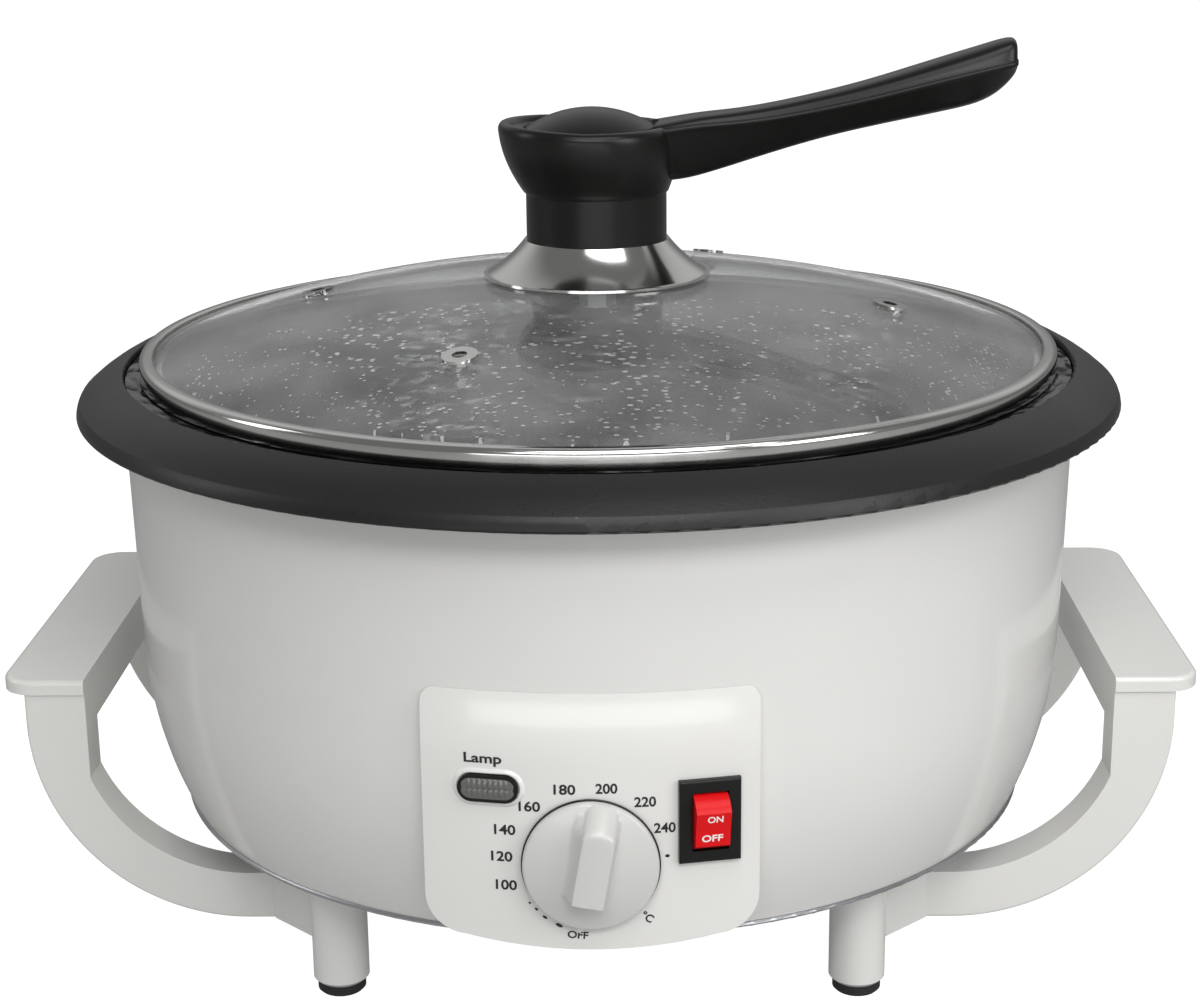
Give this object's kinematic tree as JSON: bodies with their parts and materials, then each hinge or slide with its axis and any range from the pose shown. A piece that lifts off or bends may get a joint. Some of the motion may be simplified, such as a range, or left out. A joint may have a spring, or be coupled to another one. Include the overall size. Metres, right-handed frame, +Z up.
{
  "type": "home coffee bean roaster",
  "caption": "Countertop coffee bean roaster: heated pan with a motor-driven stirrer, glass lift-off lid with a long lever handle, thermostat knob and rocker switch.",
  "frame": {"origin": "on the table under the axis of the bowl", "axes": "+Z up, -Y towards the control panel, +X along the lid lever"},
  "size_m": [0.367, 0.33, 0.2778],
  "materials": {
    "white_enamel": "gloss",
    "ivory_plastic": "semi-gloss",
    "black_enamel": "satin",
    "nonstick_coating": "black non-stick coating with light speckle",
    "black_plastic": "satin",
    "red_plastic": "gloss",
    "smoked_lens": "translucent grey, ribbed",
    "lamp_glass": "clear",
    "lid_glass": "clear tempered glass",
    "polished_steel": "polished stainless steel",
    "zinc_steel": "zinc plated",
    "aluminised_steel": "bright",
    "heater_sheath": "dark oxide",
    "bronze": "sintered",
    "motor_paint": "satin",
    "rubber": "matte",
    "ceramic": "matte moulded insulator"
  },
  "bodies": {
    "cooker": {"bowl_housing": "white_enamel", "base_plate": "zinc_steel", "rim_ring": "black_enamel", "bowl_screws": "zinc_steel", "roasting_pan": "nonstick_coating", "shaft_bush": "bronze", "gear_motor": "motor_paint", "motor_bracket": "zinc_steel", "motor_screws": "zinc_steel", "bracket_screws": "zinc_steel", "heating_element": "heater_sheath", "heat_reflector": "aluminised_steel", "element_saddles": "zinc_steel", "support_posts": "zinc_steel", "control_panel": "ivory_plastic", "thermostat_body": "zinc_steel", "switch_case": "black_plastic", "lamp_sleeve": "black_plastic", "lamp_lens": "smoked_lens", "neon_tube": "lamp_glass", "cord_gland": "black_plastic", "terminal_block": "ceramic", "front_right_leg": "ivory_plastic", "rear_right_leg": "ivory_plastic", "front_left_leg": "ivory_plastic", "rear_left_leg": "ivory_plastic", "leg_screws": "zinc_steel", "rubber_feet": "rubber", "front_right_strap": "ivory_plastic", "rear_right_strap": "ivory_plastic", "front_left_strap": "ivory_plastic", "rear_left_strap": "ivory_plastic", "right_grip": "ivory_plastic", "left_grip": "ivory_plastic"},
    "dial": {"temperature_knob": "ivory_plastic", "thermostat_spindle": "zinc_steel"},
    "rocker": {"switch_rocker": "red_plastic"},
    "drive": {"drive_shaft": "zinc_steel"},
    "stirrer": {"stirrer_hub": "black_plastic", "stirrer_arm_long": "polished_steel", "stirrer_arm_short": "polished_steel"},
    "lid": {"lid_glass": "lid_glass", "lid_band": "polished_steel", "vent_eyelets": "polished_steel", "lid_collar": "polished_steel", "lid_boss": "black_plastic", "lid_handle": "black_plastic", "handle_cap": "black_plastic", "handle_bolt": "zinc_steel", "lid_gasket": "rubber", "lid_washer": "zinc_steel", "cap_nut": "zinc_steel"}
  },
  "joints": [
    {"name": "knob_turn", "type": "hinge", "parent": "cooker", "child": "dial", "pos_m": [0, -0.155, 0.0708], "axis": [0, 1, 0], "range_deg": [0, 253]},
    {"name": "rocker_tilt", "type": "hinge", "parent": "cooker", "child": "rocker", "pos_m": [0.03184, -0.14852, 0.0824], "axis": [-0.9778, -0.2096, 0], "range_deg": [0, 20]},
    {"name": "stirrer_spin", "type": "hinge", "parent": "cooker", "child": "drive", "pos_m": [0, 0, 0.1], "axis": [0, 0, 1], "continuous": true},
    {"name": "stirrer_lift", "type": "slide", "parent": "drive", "child": "stirrer", "axis": [0, 0, 1], "range_m": [0, 0.03]},
    {"name": "lid_lift", "type": "slide", "parent": "cooker", "child": "lid", "axis": [0, 0, 1], "range_m": [0, 0.15]}
  ]
}
